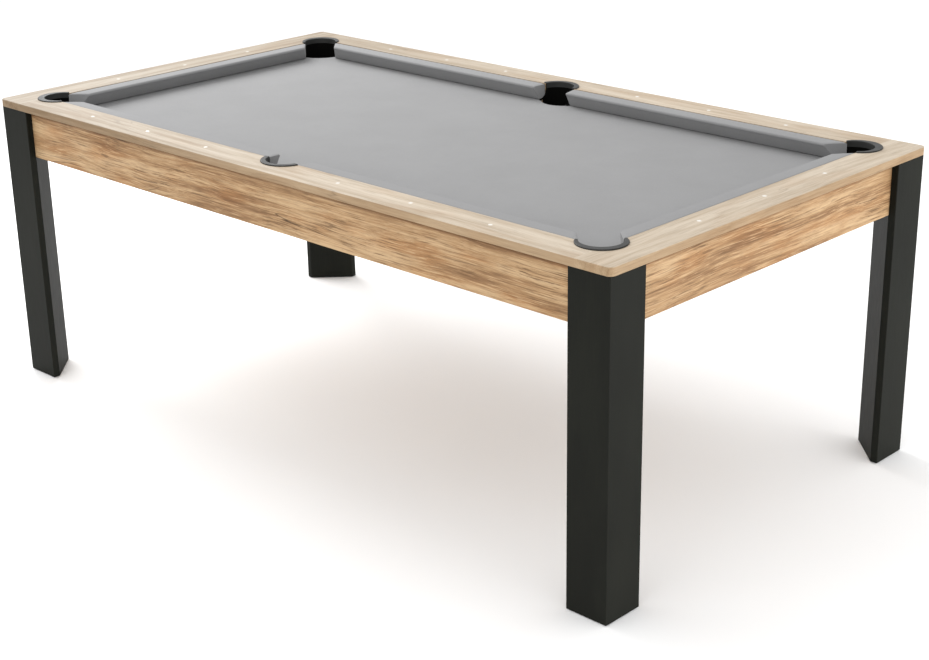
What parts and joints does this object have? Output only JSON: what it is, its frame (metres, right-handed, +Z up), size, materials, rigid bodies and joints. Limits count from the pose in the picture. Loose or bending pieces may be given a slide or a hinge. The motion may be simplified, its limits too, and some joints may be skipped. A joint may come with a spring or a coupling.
{
  "type": "pool table",
  "caption": "Pool table with drop pockets, cloth-covered cushions, laminate rails and aprons, and corner legs that stand on screw-in levelling feet.",
  "frame": {"origin": "on the floor under the table's centre", "axes": "+X along the table's length, +Y across it, +Z up"},
  "size_m": [2.134, 1.168, 0.793],
  "materials": {
    "oak_top": "pale oak-look laminate, satin, fine straight grain",
    "oak_apron": "darker streaky oak-look laminate, satin",
    "black_leg": "matt black foil on folded board",
    "cloth": "light grey napped playing cloth",
    "cushion": "rubber covered in the same grey cloth",
    "rim_plastic": "dark grey moulded plastic, satin",
    "cup_plastic": "matt black moulded plastic",
    "sight_white": "white inlaid dot",
    "board": "raw fibreboard",
    "zinc_steel": "zinc plated",
    "foot_plastic": "black nylon"
  },
  "bodies": {
    "table": {"bed_cleats": "board", "bed_cloth": "cloth", "bed_panel": "board", "centre_beam": "board", "corner_block_back_left": "board", "corner_block_back_right": "board", "corner_block_front_left": "board", "corner_block_front_right": "board", "cross_beam_left": "board", "cross_beam_right": "board", "cushion_back_left": "cushion", "cushion_back_right": "cushion", "cushion_front_left": "cushion", "cushion_front_right": "cushion", "cushion_left": "cushion", "cushion_right": "cushion", "end_apron_left": "oak_apron", "end_apron_right": "oak_apron", "end_rail_left": "oak_top", "end_rail_right": "oak_top", "foot_blocks": "board", "foot_inserts": "zinc_steel", "frame_bolts": "zinc_steel", "leg_inner_panel_back_left": "black_leg", "leg_inner_panel_back_right": "black_leg", "leg_inner_panel_front_left": "black_leg", "leg_inner_panel_front_right": "black_leg", "leg_shell_back_left": "black_leg", "leg_shell_back_right": "black_leg", "leg_shell_front_left": "black_leg", "leg_shell_front_right": "black_leg", "long_apron_back": "oak_apron", "long_apron_front": "oak_apron", "pocket_cup_back_left": "cup_plastic", "pocket_cup_back_right": "cup_plastic", "pocket_cup_front_left": "cup_plastic", "pocket_cup_front_right": "cup_plastic", "pocket_cup_side_back": "cup_plastic", "pocket_cup_side_front": "cup_plastic", "pocket_rim_back_left": "rim_plastic", "pocket_rim_back_right": "rim_plastic", "pocket_rim_front_left": "rim_plastic", "pocket_rim_front_right": "rim_plastic", "pocket_rim_side_back": "rim_plastic", "pocket_rim_side_front": "rim_plastic", "rail_sights": "sight_white", "sub_rail_back_left": "board", "sub_rail_back_right": "board", "sub_rail_front_left": "board", "sub_rail_front_right": "board", "sub_rail_left": "board", "sub_rail_right": "board", "top_rail_back": "oak_top", "top_rail_front": "oak_top"},
    "foot_back_left": {"levelling_foot_back_left": "foot_plastic"},
    "foot_back_right": {"levelling_foot_back_right": "foot_plastic"},
    "foot_front_left": {"levelling_foot_front_left": "foot_plastic"},
    "foot_front_right": {"levelling_foot_front_right": "foot_plastic"}
  },
  "joints": [
    {"name": "foot_back_left_screw", "type": "slide", "parent": "table", "child": "foot_back_left", "axis": [0, 0, -1], "range_m": [0, 0.02]},
    {"name": "foot_back_right_screw", "type": "slide", "parent": "table", "child": "foot_back_right", "axis": [0, 0, -1], "range_m": [0, 0.02]},
    {"name": "foot_front_left_screw", "type": "slide", "parent": "table", "child": "foot_front_left", "axis": [0, 0, -1], "range_m": [0, 0.02]},
    {"name": "foot_front_right_screw", "type": "slide", "parent": "table", "child": "foot_front_right", "axis": [0, 0, -1], "range_m": [0, 0.02]}
  ]
}
